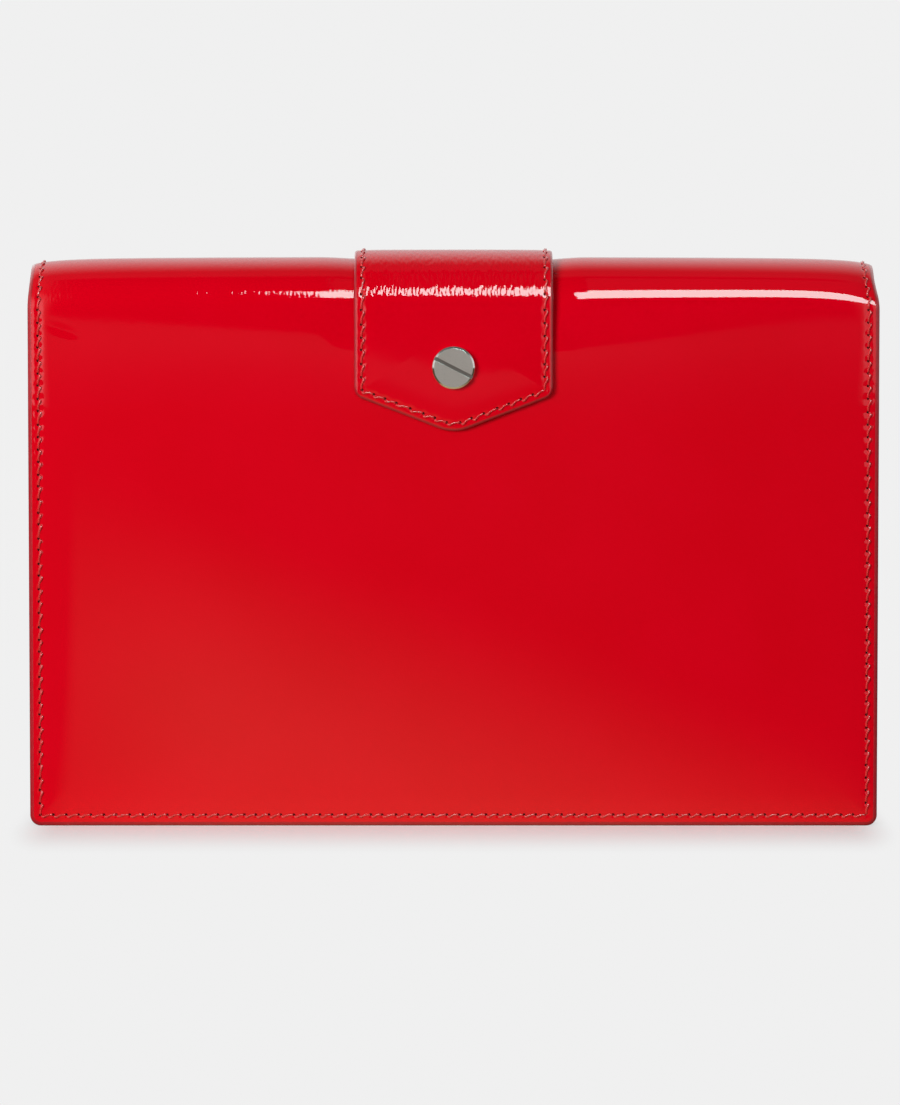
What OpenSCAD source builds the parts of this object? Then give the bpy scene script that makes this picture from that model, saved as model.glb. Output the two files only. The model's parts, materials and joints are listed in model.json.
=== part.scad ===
// Flap clutch purse in patent leather.
// The back panel runs over a rounded fold at the top and becomes the front flap.
// A stitched strap, held by slotted post screws, wraps over the fold and closes
// on the front with a magnetic snap. A turned-in gusset joins the two panels.
//
// Frame: X across the width, -Y out of the back face, +Z up. The origin is the
// centre of the bounding box on the bottom seam. The bending fold is built as
// four hinge lines between rigid slats, so that the flap can swing open.

/* [Body] */
// Width across the panels
body_w = 240; // [200:5:280]
// Height from the bottom seam to the top of the leather fold
body_h = 161; // [155:1:175]
// Height of the front panel under the flap
front_h = 135; // [120:1:136]
// Lean of the front panel towards the back at the bottom, in degrees
front_lean = 6; // [4:0.5:6]
// Radius of the lower corners
corner_r = 3; // [2:0.5:6]

/* [Sheet stack] */
// Thickness of the patent leather
leather_t = 1.5; // [1.2:0.1:1.6]
// Thickness of the stiffening board
board_t = 0.8; // [0.7:0.1:1.0]
// Thickness of the lining
lining_t = 0.7; // [0.6:0.1:0.8]
// Clear gap between the closed flap and the front panel
flap_gap = 0.4; // [0.3:0.1:0.8]

/* [Fold and flap] */
// Outer radius of the leather where it turns over the top
fold_r = 15; // [15:0.5:18]
// Length of the flat flap below the fold
flap_len = 84; // [75:1:86]

/* [Strap] */
// Width of the strap
strap_w = 56; // [40:1:70]
// Thickness of the strap's outer leather
strap_leather_t = 1.2; // [1.0:0.1:1.4]
// Thickness of the strap's lining
strap_lining_t = 0.8; // [0.7:0.1:1.0]
// Length of the strap down the back, from the fold to its shoulders
tab_len = 24.1; // [22:0.1:30]
// Length of the strap down the front, from the fold to its shoulders
strap_len = 96; // [95:1:100]
// Length of the pointed end beyond the shoulders
point_len = 10.8; // [9:0.1:13]
// Radius of the rounded tip
tip_r = 12; // [3:0.5:12]
// Radius of the rounded shoulders
shoulder_r = 3.2; // [1:0.1:5]

/* [Screws] */
// Diameter of the screw heads
head_d = 12; // [10:0.5:14]
// Thickness of the screw heads
head_t = 2; // [1.5:0.1:2.5]
// Width of the slot in each head
slot_w = 1; // [0.8:0.1:1.4]
// Angle of the slot across each head, in degrees
slot_angle = 27; // [0:1:90]
// Distance of the back screw below the fold
back_screw_drop = 16.2; // [15:0.1:18]
// Distance of the front screw below the fold
front_screw_drop = 62; // [50:1:68]

/* [Magnetic snap] */
// Diameter of the snap's two halves
snap_d = 14; // [12:0.5:14]
// Distance of the snap below the fold
snap_drop = 96; // [95:1:97]

/* [Gusset] */
// Thickness of the gusset leather
gusset_t = 1.0; // [0.8:0.1:1.1]
// Width of the gusset's sewn flanges
flange_w = 6; // [5:0.5:8]
// Depth of the gusset's inward fold at the mouth
gusset_fold = 10; // [6:0.5:12]

/* [Slip pocket] */
// Width of the card pocket
pocket_w = 110; // [90:5:140]
// Height of the card pocket
pocket_h = 75; // [60:5:85]

/* [Stitching] */
// Distance between stitches on the body
stitch_pitch = 3.6; // [3:0.1:4.5]
// Distance between stitches on the strap
strap_pitch = 3.9; // [3:0.1:4.5]
// Distance of the body's stitch line from the edge
stitch_margin = 3; // [2.5:0.1:4]
// Distance of the strap's stitch line from its edge
strap_margin = 2.2; // [2:0.1:3]

/* [Hidden] */
$fn = 64;
patent_red = "#d2061c";
edge_red = "#8f1a22";
lining_red = "#a3242c";
thread_red = "#d85a52";
nickel = "#c9c6c0";

wall_t = leather_t + board_t + lining_t;
strap_t = strap_leather_t + strap_lining_t;
strap_gap = 0.05;
strap_in = fold_r + strap_gap;
strap_out = strap_in + strap_t;

// The back face stands where the purse, its strap and its screw centre on Y = 0
back_y = -(fold_r - head_t / 2);
fold_y = back_y + fold_r;
fold_z = body_h - fold_r;

// The fold turns through half a circle and the lean, on four equal hinge steps
fold_turn = 180 + front_lean;
hinge_step = fold_turn / 4;
slat_gap = 0.2;
function hinge_angle(i) = hinge_step * (i - 0.5);

// Offsets from the fold axis, measured square to the leaning panels
front_out = fold_r - wall_t - flap_gap;
function drop_at(out, z) = (fold_z - z - out * sin(front_lean)) / cos(front_lean);
front_bottom = drop_at(front_out, 0);
front_top = drop_at(front_out, front_h);

// The gusset's two leaves meet in a plane half way between the panels
gusset_back = back_y + wall_t + gusset_t;
gusset_front_out = front_out - wall_t - gusset_t;
function front_gusset_y(z) =
    fold_y + gusset_front_out / cos(front_lean) - (fold_z - z) * tan(front_lean);
meet_z = -(front_gusset_y(0) - gusset_back) / tan(front_lean);
flange_foot = 0.6;
web_gap = 0.15;
leaf_gap = 0.1;
leaf_foot = flange_w + gusset_t + 0.3;
leaf_top = front_h - 2;

// Post screw
shank_r = 2;
post_in_r = 2.05;
post_r = 2.75;
post_hole_r = 2.85;
post_flange_r = 5;
post_flange_hole_r = 5.1;
stack_t = strap_t + strap_gap + wall_t;
head_chamfer = 0.4;
slot_depth = 0.8;

// Magnetic snap
snap_socket_t = 1.5;
snap_stud_t = 1.6;
stud_r = 3;
stud_h = 1.4;
socket_r = 3.6;
case_t = 0.3;
magnet_t = 1.0;
plate_r = snap_d / 2 + 1;
plate_hole_r = plate_r + 0.1;
front_plate_t = board_t - 0.2;
strap_plate_t = strap_lining_t - 0.3;
prong_x = 5;
prong_w = 2;
prong_t = 0.5;
prong_slack = 0.3;

// Thread
thread_w = 0.6;
thread_h = 0.25;
stitch_fill = 0.8;
stitch_slant = 12;

// Slip pocket
pocket_foot = 22;
pocket_t = 0.8;
card_gap = 0.4;
pocket_hem = 3;
pocket_out = back_y + wall_t + card_gap + pocket_t;

// ---- Frames and basic shapes ----

// Stands a drawing of (x, z) up as a sheet that fills y0 to y0 + t
module sheet(y0, t) {
    translate([0, y0 + t, 0]) rotate([90, 0, 0]) linear_extrude(t) children();
}

// Frame of the leaning front: origin on the fold axis, +Y out of the panel, +Z up it
module leaning() {
    translate([0, fold_y, fold_z]) rotate([-front_lean, 0, 0]) children();
}

// Frame of the back: the same as leaning(), with -Y out of the panel
module hanging() {
    translate([0, fold_y, fold_z]) children();
}

// Sector of a turned sheet that rises from +Y through span degrees about the fold axis
module rise(r_out, t, span, w) {
    rotate([90, 0, 90])
        rotate_extrude(angle = span)
            translate([r_out - t, -w / 2]) square([t, w]);
}

// Part of the fold that stays with the back panel
module back_turn(r_out, t, w) {
    hanging() mirror([0, 1, 0]) rise(r_out, t, (hinge_step - slat_gap) / 2, w);
}

// Slat i of the fold, between hinge lines i and i + 1 counted from the back
module slat(i, r_out, t, w) {
    hanging() mirror([0, 1, 0])
        rotate([hinge_angle(i) + slat_gap / 2, 0, 0])
            rise(r_out, t, hinge_step - slat_gap, w);
}

// Part of the fold that stays with the flap
module flap_turn(r_out, t, w) {
    leaning() rise(r_out, t, (hinge_step - slat_gap) / 2, w);
}

// Rectangle w wide from z = z0 to z1 with rounded lower corners
module panel_shape(w, z0, z1, r = corner_r) {
    translate([-w / 2, z0 + r]) square([w, z1 - z0 - r]);
    translate([-w / 2 + r, z0]) square([w - 2 * r, r + 0.01]);
    for (side = [-1, 1]) translate([side * (w / 2 - r), z0 + r]) circle(r);
}

// Strap end hanging len below z = 0 to its shoulders, which are rounded like the point
module strap_shape(len) {
    slope = atan2(point_len, strap_w / 2);
    tip_z = -len - point_len + tip_r / cos(slope);
    flat_x = tip_r * sin(slope);
    flat_z = tip_z - tip_r * cos(slope);
    knee_x = strap_w / 2 - shoulder_r;
    knee_z = -len - point_len + knee_x * tan(slope) + shoulder_r / cos(slope);
    turns = [for (k = [0 : 6]) k * (slope - 90) / 6];
    right = [for (a = turns) [knee_x + shoulder_r * cos(a), knee_z + shoulder_r * sin(a)]];
    left = [for (k = [6 : -1 : 0]) [-right[k][0], right[k][1]]];
    polygon(concat(
        [[strap_w / 2, 0]], right, [[flat_x, flat_z], [-flat_x, flat_z]],
        left, [[-strap_w / 2, 0]]
    ));
    translate([0, tip_z]) circle(tip_r);
}

// Round hole or disc of radius r through y0 to y0 + t, at height z
module disc(r, y0, t, z) {
    translate([0, y0 + t, z]) rotate([90, 0, 0]) cylinder(r = r, h = t);
}

// Row of slanted stitches from p to q on the plane y = y0, raised towards side
module stitches(p, q, pitch, y0, side) {
    run = q - p;
    count = round(norm(run) / pitch);
    angle = atan2(run[1], run[0]);
    for (k = [0 : count - 1])
        translate([p[0] + run[0] * (k + 0.5) / count, y0, p[1] + run[1] * (k + 0.5) / count])
            rotate([0, -angle - stitch_slant, 0])
                translate([-pitch * stitch_fill / 2, min(0, side * thread_h), -thread_w / 2])
                    cube([pitch * stitch_fill, thread_h, thread_w]);
}

// Stitches down both sides and along the bottom of a panel, with gap left free at its middle
module panel_stitches(top, bottom, y0, side, gap = 0) {
    x = body_w / 2 - stitch_margin;
    foot = bottom + stitch_margin;
    for (s = [-1, 1]) {
        stitches([s * x, top], [s * x, foot + 1], stitch_pitch, y0, side);
        stitches([s * x, foot], [s * gap / 2, foot], stitch_pitch, y0, side);
    }
}

// Stitches down both sides and round the point of a strap end
module strap_stitches(len, y0, side) {
    x = strap_w / 2 - strap_margin;
    slope = atan2(point_len, strap_w / 2);
    tip = -len - point_len + strap_margin / cos(slope);
    foot = tip + x * tan(slope);
    for (s = [-1, 1]) {
        stitches([s * x, -3], [s * x, foot], strap_pitch, y0, side);
        stitches([s * x, foot - 1], [s * 1, tip], strap_pitch, y0, side);
    }
}

// ---- Hardware, built along +Z out of the strap's outer face ----

module screw_shape() {
    difference() {
        rotate_extrude()
            polygon([
                [0, 0], [head_d / 2, 0], [head_d / 2, head_t - head_chamfer],
                [head_d / 2 - head_chamfer, head_t], [0, head_t]
            ]);
        rotate([0, 0, -slot_angle])
            translate([-head_d, -slot_w / 2, head_t - slot_depth])
                cube([2 * head_d, slot_w, head_t]);
    }
    translate([0, 0, -stack_t + 1.5]) cylinder(r = shank_r, h = stack_t - 1.49);
}

module post_shape() {
    difference() {
        union() {
            translate([0, 0, -stack_t]) cylinder(r = post_flange_r, h = lining_t);
            translate([0, 0, -stack_t]) cylinder(r = post_r, h = stack_t - 0.3);
        }
        translate([0, 0, -stack_t + 1.2]) cylinder(r = post_in_r, h = stack_t);
    }
}

module at_back_screw() {
    hanging() translate([0, -strap_out, -back_screw_drop]) rotate([90, 0, 0]) children();
}

module at_front_screw() {
    leaning() translate([0, strap_out, -front_screw_drop]) rotate([-90, 0, 0]) children();
}

// Pair of prongs or of their slots, grown by slack, from y0 to y0 + t
module prongs(y0, t, slack) {
    for (s = [-1, 1])
        translate([s * prong_x - (prong_w + slack) / 2, y0, -snap_drop - (prong_t + slack) / 2])
            cube([prong_w + slack, t, prong_t + slack]);
}

// ---- Back: stays still ----

module back_panel() {
    color(patent_red) difference() {
        union() {
            sheet(back_y, leather_t) panel_shape(body_w, 0, fold_z);
            back_turn(fold_r, leather_t, body_w);
        }
        hanging() disc(post_hole_r, -fold_r - 1, leather_t + 2, -back_screw_drop);
    }
}

module back_board() {
    color("tan") difference() {
        sheet(back_y + leather_t, board_t) panel_shape(body_w, 0, fold_z);
        hanging() disc(post_hole_r, -fold_r, wall_t, -back_screw_drop);
    }
}

module back_lining() {
    color(lining_red) difference() {
        union() {
            sheet(back_y + leather_t + board_t, lining_t) panel_shape(body_w, 0, fold_z);
            back_turn(fold_r - leather_t, board_t + lining_t, body_w);
        }
        hanging() disc(post_flange_hole_r, -fold_r, wall_t + 1, -back_screw_drop);
    }
}

module back_thread() {
    color(thread_red) panel_stitches(fold_z, 0, back_y, -1);
}

module slip_pocket() {
    color(lining_red) difference() {
        sheet(back_y + wall_t, card_gap + pocket_t)
            translate([-pocket_w / 2, pocket_foot]) square([pocket_w, pocket_h]);
        sheet(back_y + wall_t - 1, 1 + card_gap)
            translate([-pocket_w / 2 + pocket_hem, pocket_foot + pocket_hem])
                square([pocket_w - 2 * pocket_hem, pocket_h]);
    }
}

module pocket_thread() {
    x = (pocket_w - pocket_hem) / 2;
    foot = pocket_foot + pocket_hem / 2;
    top = pocket_foot + pocket_h - 1;
    color(thread_red) {
        for (s = [-1, 1]) stitches([s * x, top], [s * x, foot + 1], stitch_pitch, pocket_out, 1);
        stitches([-x, foot], [x, foot], stitch_pitch, pocket_out, 1);
    }
}

// Small block of gusset leather at (x, y, z), one corner of a leaf
module leaf_corner(x, y, z) {
    translate([x, y, z]) cube([gusset_t, gusset_t, 0.5]);
}

// Half of the gusset on the back panel's side: a sewn U flange and two folded leaves
module gusset_leaf() {
    edge_x = body_w / 2 - flange_w;
    depth_top = (leaf_top - meet_z) * tan(front_lean);
    sheet(gusset_back - gusset_t, gusset_t) difference() {
        panel_shape(body_w, flange_foot, leaf_top, corner_r);
        translate([-edge_x, flange_w]) square([2 * edge_x, leaf_top]);
    }
    for (s = [0, 1]) mirror([s, 0, 0]) hull()
        for (z = [leaf_foot, leaf_top - 0.5]) {
            depth = (z - meet_z) * tan(front_lean);
            half = (z - meet_z) * tan(front_lean / 2) - gusset_t - leaf_gap;
            leaf_corner(edge_x, gusset_back - gusset_t, z);
            leaf_corner(edge_x - gusset_fold * depth / depth_top, gusset_back + half, z);
        }
}

module gusset_back_leaf() {
    edge_x = body_w / 2 - flange_w;
    web_front = front_gusset_y(flange_w) - web_gap;
    color(patent_red) {
        gusset_leaf();
        translate([-edge_x, gusset_back - gusset_t, flange_w - 0.2])
            cube([2 * edge_x, web_front - gusset_back + gusset_t, gusset_t]);
    }
}

module tab_back() {
    color(patent_red) difference() {
        union() {
            hanging() sheet(-strap_out, strap_leather_t) strap_shape(tab_len);
            back_turn(strap_out, strap_leather_t, strap_w);
        }
        hanging() disc(post_hole_r, -strap_out - 1, strap_t + 1, -back_screw_drop);
    }
}

module tab_back_lining() {
    color(edge_red) difference() {
        union() {
            hanging() sheet(-strap_in - strap_lining_t, strap_lining_t) strap_shape(tab_len);
            back_turn(strap_in + strap_lining_t, strap_lining_t, strap_w);
        }
        hanging() disc(post_hole_r, -strap_out, strap_t + 1, -back_screw_drop);
    }
}

module tab_thread() {
    color(thread_red) hanging() strap_stitches(tab_len, -strap_out, -1);
}

module tab_screw() {
    color(nickel) at_back_screw() screw_shape();
}

module tab_screw_post() {
    color(nickel) at_back_screw() post_shape();
}

// ---- Front panel: swings open about the bottom seam ----

module front_panel() {
    color(patent_red) leaning() difference() {
        sheet(front_out - leather_t, leather_t)
            panel_shape(body_w, -front_bottom, -front_top);
        prongs(front_out - leather_t - 1, leather_t + 2, prong_slack);
    }
}

module front_board() {
    color("tan") leaning() difference() {
        sheet(front_out - leather_t - board_t, board_t)
            panel_shape(body_w, -front_bottom, -front_top);
        disc(plate_hole_r, front_out - wall_t, wall_t, -snap_drop);
    }
}

module front_lining() {
    color(lining_red) leaning()
        sheet(front_out - wall_t, lining_t)
            panel_shape(body_w, -front_bottom, -front_top);
}

module front_thread() {
    x = body_w / 2 - stitch_margin;
    hem = -front_top - stitch_margin;
    color(thread_red) leaning() {
        panel_stitches(hem - 1, -front_bottom, front_out, 1);
        stitches([-x, hem], [x, hem], stitch_pitch, front_out, 1);
    }
}

// The back leaf mirrored in the plane half way between the panels
module gusset_front_leaf() {
    color(patent_red)
        translate([0, gusset_back, meet_z])
            mirror([0, cos(front_lean / 2), -sin(front_lean / 2)])
                translate([0, -gusset_back, -meet_z])
                    gusset_leaf();
}

module snap_socket() {
    color(nickel) leaning() difference() {
        union() {
            disc(snap_d / 2, front_out, snap_socket_t, -snap_drop);
            prongs(front_out - leather_t - front_plate_t, leather_t + front_plate_t + 0.1, 0);
        }
        disc(socket_r, front_out + case_t, snap_socket_t, -snap_drop);
        difference() {
            disc(snap_d / 2 - case_t, front_out + case_t, magnet_t - 0.1, -snap_drop);
            disc(socket_r + case_t, front_out, snap_socket_t, -snap_drop);
        }
    }
}

module snap_magnet() {
    color("dimgray") leaning() difference() {
        disc(snap_d / 2 - case_t - 0.05, front_out + case_t + 0.05, magnet_t - 0.2, -snap_drop);
        disc(socket_r + case_t + 0.05, front_out, snap_socket_t, -snap_drop);
    }
}

module snap_socket_plate() {
    color(nickel) leaning() difference() {
        disc(plate_r, front_out - leather_t - front_plate_t, front_plate_t, -snap_drop);
        prongs(front_out - wall_t, wall_t, prong_slack);
    }
}

// ---- Fold: three slats between four hinge lines ----

module fold_leather(i) {
    color(patent_red) slat(i, fold_r, leather_t, body_w);
}

module fold_lining(i) {
    color(lining_red) slat(i, fold_r - leather_t, board_t + lining_t, body_w);
}

module fold_strap(i) {
    color(patent_red) slat(i, strap_out, strap_leather_t, strap_w);
}

module fold_strap_lining(i) {
    color(edge_red) slat(i, strap_in + strap_lining_t, strap_lining_t, strap_w);
}

// ---- Flap: swings over the top with the strap's front end ----

module flap_panel() {
    color(patent_red) {
        leaning() difference() {
            sheet(fold_r - leather_t, leather_t) panel_shape(body_w, -flap_len, 0);
            disc(post_hole_r, fold_r - leather_t - 1, leather_t + 2, -front_screw_drop);
        }
        flap_turn(fold_r, leather_t, body_w);
    }
}

module flap_board() {
    color("tan") leaning() difference() {
        sheet(fold_r - leather_t - board_t, board_t) panel_shape(body_w, -flap_len, 0);
        disc(post_hole_r, fold_r - wall_t, wall_t, -front_screw_drop);
    }
}

module flap_lining() {
    color(lining_red) {
        leaning() difference() {
            sheet(fold_r - wall_t, lining_t) panel_shape(body_w, -flap_len, 0);
            disc(post_flange_hole_r, fold_r - wall_t - 1, wall_t, -front_screw_drop);
        }
        flap_turn(fold_r - leather_t, board_t + lining_t, body_w);
    }
}

// The row along the flap's edge is left out under the strap, where it is pressed into the leather
module flap_thread() {
    color(thread_red) leaning() panel_stitches(0, -flap_len, fold_r, 1, strap_w + stitch_pitch);
}

module strap_front() {
    color(patent_red) {
        leaning() difference() {
            sheet(strap_out - strap_leather_t, strap_leather_t) strap_shape(strap_len);
            disc(post_hole_r, strap_in, strap_t + 1, -front_screw_drop);
        }
        flap_turn(strap_out, strap_leather_t, strap_w);
    }
}

module strap_front_lining() {
    color(edge_red) {
        leaning() difference() {
            sheet(strap_in, strap_lining_t) strap_shape(strap_len);
            disc(post_hole_r, strap_in - 1, strap_t, -front_screw_drop);
            prongs(strap_in - 1, strap_t, prong_slack);
            disc(plate_hole_r, strap_in + strap_lining_t - strap_plate_t, 1, -snap_drop);
        }
        flap_turn(strap_in + strap_lining_t, strap_lining_t, strap_w);
    }
}

module strap_thread() {
    color(thread_red) leaning() strap_stitches(strap_len, strap_out, 1);
}

module strap_screw() {
    color(nickel) at_front_screw() screw_shape();
}

module strap_screw_post() {
    color(nickel) at_front_screw() post_shape();
}

module snap_stud() {
    color(nickel) leaning() {
        disc(snap_d / 2, strap_in - snap_stud_t, snap_stud_t, -snap_drop);
        disc(stud_r, strap_in - snap_stud_t - stud_h, stud_h + 0.1, -snap_drop);
        prongs(strap_in - 0.1, 0.1 + strap_lining_t, 0);
    }
}

module snap_stud_plate() {
    color(nickel) leaning() difference() {
        disc(plate_r, strap_in + strap_lining_t - strap_plate_t, strap_plate_t, -snap_drop);
        prongs(strap_in - 1, strap_t, prong_slack);
    }
}

back_panel();
back_board();
back_lining();
back_thread();
slip_pocket();
pocket_thread();
gusset_back_leaf();
tab_back();
tab_back_lining();
tab_thread();
tab_screw();
tab_screw_post();
front_panel();
front_board();
front_lining();
front_thread();
gusset_front_leaf();
snap_socket();
snap_magnet();
snap_socket_plate();
fold_leather(1);  // fold_1_leather
fold_lining(1);  // fold_1_lining
fold_strap(1);  // fold_1_strap
fold_strap_lining(1);  // fold_1_strap_lining
fold_leather(2);  // fold_2_leather
fold_lining(2);  // fold_2_lining
fold_strap(2);  // fold_2_strap
fold_strap_lining(2);  // fold_2_strap_lining
fold_leather(3);  // fold_3_leather
fold_lining(3);  // fold_3_lining
fold_strap(3);  // fold_3_strap
fold_strap_lining(3);  // fold_3_strap_lining
flap_panel();
flap_board();
flap_lining();
flap_thread();
strap_front();
strap_front_lining();
strap_thread();
strap_screw();
strap_screw_post();
snap_stud();
snap_stud_plate();
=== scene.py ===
import json
from math import atan2, cos, pi, radians, sin, sqrt, tan

import bpy
import numpy as np
from mathutils import Matrix, Vector


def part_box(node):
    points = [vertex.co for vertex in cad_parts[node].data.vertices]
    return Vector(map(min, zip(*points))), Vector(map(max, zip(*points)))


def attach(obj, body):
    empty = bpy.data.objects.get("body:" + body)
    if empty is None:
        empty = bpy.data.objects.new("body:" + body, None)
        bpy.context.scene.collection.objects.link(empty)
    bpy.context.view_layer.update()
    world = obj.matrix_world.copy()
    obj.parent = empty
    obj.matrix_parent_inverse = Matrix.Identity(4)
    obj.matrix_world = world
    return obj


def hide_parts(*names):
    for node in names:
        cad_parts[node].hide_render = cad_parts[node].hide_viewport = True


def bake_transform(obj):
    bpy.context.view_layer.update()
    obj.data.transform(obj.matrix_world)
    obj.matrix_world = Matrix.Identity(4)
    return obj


# Flap clutch purse in patent leather. Every sheet is laid out flat first, as x across the width and
# s along the leather from the bottom of the back, over the fold and down the flap. A place function
# then puts it into the frame, with depth counted inwards from the outer face of the body leather.
# Everything is in metres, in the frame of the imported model.

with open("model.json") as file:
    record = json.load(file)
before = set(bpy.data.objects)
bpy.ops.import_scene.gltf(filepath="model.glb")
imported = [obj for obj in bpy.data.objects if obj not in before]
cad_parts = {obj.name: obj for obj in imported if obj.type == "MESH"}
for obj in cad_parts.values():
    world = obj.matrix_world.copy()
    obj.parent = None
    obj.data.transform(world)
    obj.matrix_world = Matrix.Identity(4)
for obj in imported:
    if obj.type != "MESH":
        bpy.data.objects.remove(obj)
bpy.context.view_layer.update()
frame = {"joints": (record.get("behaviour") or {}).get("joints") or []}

MM = 0.001
rng = np.random.default_rng(7)


def low(node):
    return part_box(node)[0]


def high(node):
    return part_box(node)[1]


# ---- Sizes taken from the frame ----

HALF_W = high("back_board").x
BACK_Y = low("back_panel").y
FOLD_R = (high("flap_panel").y - BACK_Y) / 2
FOLD_Y = BACK_Y + FOLD_R
FOLD_Z = high("back_board").z
LEATHER = low("back_board").y - BACK_Y
BOARD = high("back_board").y - low("back_board").y
WALL = low("gusset_back_leaf").y - BACK_Y
STRAP_OUT = FOLD_Y - low("tab_back").y
STRAP_MID = FOLD_Y - low("tab_back_lining").y
STRAP_HALF = high("tab_back").x
GUSSET_TOP = high("gusset_back_leaf").z

bends = [j for j in frame["joints"] if j["name"].startswith("flap_bend")]
opening = next(j for j in frame["joints"] if j["name"] == "front_open")
STEP = radians(bends[0]["range_deg"][1])
TURN = len(bends) * STEP
LEAN = TURN - pi
SIN_LEAN = sin(LEAN)
COS_LEAN = cos(LEAN)

FLAP_START = FOLD_Z + FOLD_R * TURN


def drop_to(z, out):
    """Distance below the fold axis, along the leaning front, of the point at height z and offset out."""
    return (FOLD_Z - z - out * SIN_LEAN) / COS_LEAN


FLAP_END = FLAP_START + drop_to(low("flap_panel").z, FOLD_R)
SEAM_Y = opening["pos_m"][1]
FRONT_LEN = (high("front_panel").z - LEATHER * SIN_LEAN) / COS_LEAN
SPLITS = [FOLD_Z + FOLD_R * STEP * k for k in (1, 2, 3)]

# ---- Sizes of the detail ----

CORNER_R = 3 * MM
RIM = 1.1 * MM
STRAP_RIM = 0.7 * MM
THIN_RIM = 0.3 * MM
STITCH = 3.6 * MM
STITCH_IN = 3.0 * MM
STRAP_STITCH = 3.9 * MM
STRAP_STITCH_IN = 2.2 * MM
POINT = 10.8 * MM
TIP_R = 12 * MM
SHOULDER_R = 3.2 * MM
THREAD_R = 0.34 * MM
SLOPE = atan2(POINT, STRAP_HALF)
STRAP_GAP = 0.05 * MM
SLOT_ANGLE = radians(27)
FRONT_SCREW_DROP = 62 * MM
SNAP_DROP = 96 * MM
POCKET_HALF = 55 * MM
POCKET_FOOT = 22 * MM
POCKET_H = 75 * MM
POCKET_DIP = 0.15 * MM
FINE = 0.4 * MM
COARSE = 0.75 * MM

STRAP_IN = FOLD_R + STRAP_GAP
POCKET_Y = high("slip_pocket").y
TAB_TIP = low("tab_back").z - TIP_R * (1 / cos(SLOPE) - 1)
STRAP_TIP = FLAP_START + drop_to(low("strap_front").z, STRAP_OUT) + TIP_R * (1 / cos(SLOPE) - 1)


# ---- Putting a flat layout into place ----


def smooth(t):
    t = np.clip(t, 0, 1)
    return t * t * (3 - 2 * t)


def droop(x, s):
    """How far the fold sinks towards the purse's two ends, where the seams pinch it."""
    end = np.abs(x / HALF_W)
    start = np.minimum(s - FOLD_Z, FLAP_START - s)
    sag = 0.6 * MM * end**2 * smooth((start - 4 * MM) / (12 * MM))
    return sag + 0.9 * MM * end**12 * smooth((start + 1 * MM) / (10 * MM))


def pinch(x, s):
    """The seams also draw the fold's ends inwards, along the width, most at the right-hand end."""
    start = np.minimum(s - FOLD_Z, FLAP_START - s)
    pull = np.where(x < 0, -0.4, 1.1) * MM
    return x - pull * np.abs(x / HALF_W) ** 12 * smooth(start / (14 * MM))


def end_roll(x, s):
    """The back starts to turn over earlier at its two ends than in the middle."""
    pull = np.where(x < 0, 0.35, 1.1) * MM * np.abs(x / HALF_W) ** 16
    past = s - FOLD_Z
    roll = smooth((past + 0.5 * MM) / (9 * MM)) * (1 - 0.8 * smooth((past - 9 * MM) / (15 * MM)))
    return pull * roll * smooth((FLAP_START - s) / (12 * MM))


def waves(x, s):
    """Slow unevenness of the leather over its board, calm next to the fold."""
    u, v = x / MM, s / MM
    slow = np.sin(u / 31 + 0.7) * np.sin(v / 29 + 1.1) + 0.4 * np.sin(u / 17 - v / 41 + 2.0)
    return 0.025 * MM * slow * (1 - np.exp(-(((s - FOLD_Z) / (30 * MM)) ** 2)))


def place_body(x, s, depth):
    """Body sheets: up the back, over the fold and down the flap."""
    theta = np.clip((s - FOLD_Z) / FOLD_R, 0, TURN)
    run = s - FOLD_Z - FOLD_R * theta
    out = FOLD_R - depth - end_roll(x, s)
    y = FOLD_Y - out * np.cos(theta) + run * np.sin(theta)
    z = FOLD_Z + out * np.sin(theta) + run * np.cos(theta) - droop(x, s)
    return np.stack(np.broadcast_arrays(pinch(x, s), y, z), axis=-1)


def place_front(x, u, depth):
    """Front panel sheets: u runs up the leaning panel from the bottom seam, and x is mirrored."""
    y = SEAM_Y + u * SIN_LEAN - depth * COS_LEAN
    z = u * COS_LEAN + depth * SIN_LEAN
    return np.stack(np.broadcast_arrays(-x, y, z), axis=-1)


# ---- Stitch rows: straight runs of holes in a layout ----


def stitch_row(p, q, pitch, side=1):
    """Holes from p to q, evenly spaced but for the small unevenness of a real seam. The loops of thread
    beside the holes stand out to the row's left for side 1 and to its right for side -1."""
    p, q = np.array(p, float), np.array(q, float)
    length = float(np.linalg.norm(q - p))
    count = max(1, round(length / pitch))
    holes = np.linspace(0, length, count + 1)
    holes[1:-1] += rng.normal(0, 0.05 * pitch, count - 1)
    return {"p": p, "d": (q - p) / length, "holes": holes, "side": side}


def row_coordinates(row, x, s):
    dx, ds = x - row["p"][0], s - row["p"][1]
    along = dx * row["d"][0] + ds * row["d"][1]
    across = dx * -row["d"][1] + ds * row["d"][0]
    return along, across


def off_row(row, along, across):
    """Layout coordinates of a point that lies along and beside a row."""
    dx, ds = row["d"]
    return row["p"][0] + dx * along - ds * across, row["p"][1] + ds * along + dx * across


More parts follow.
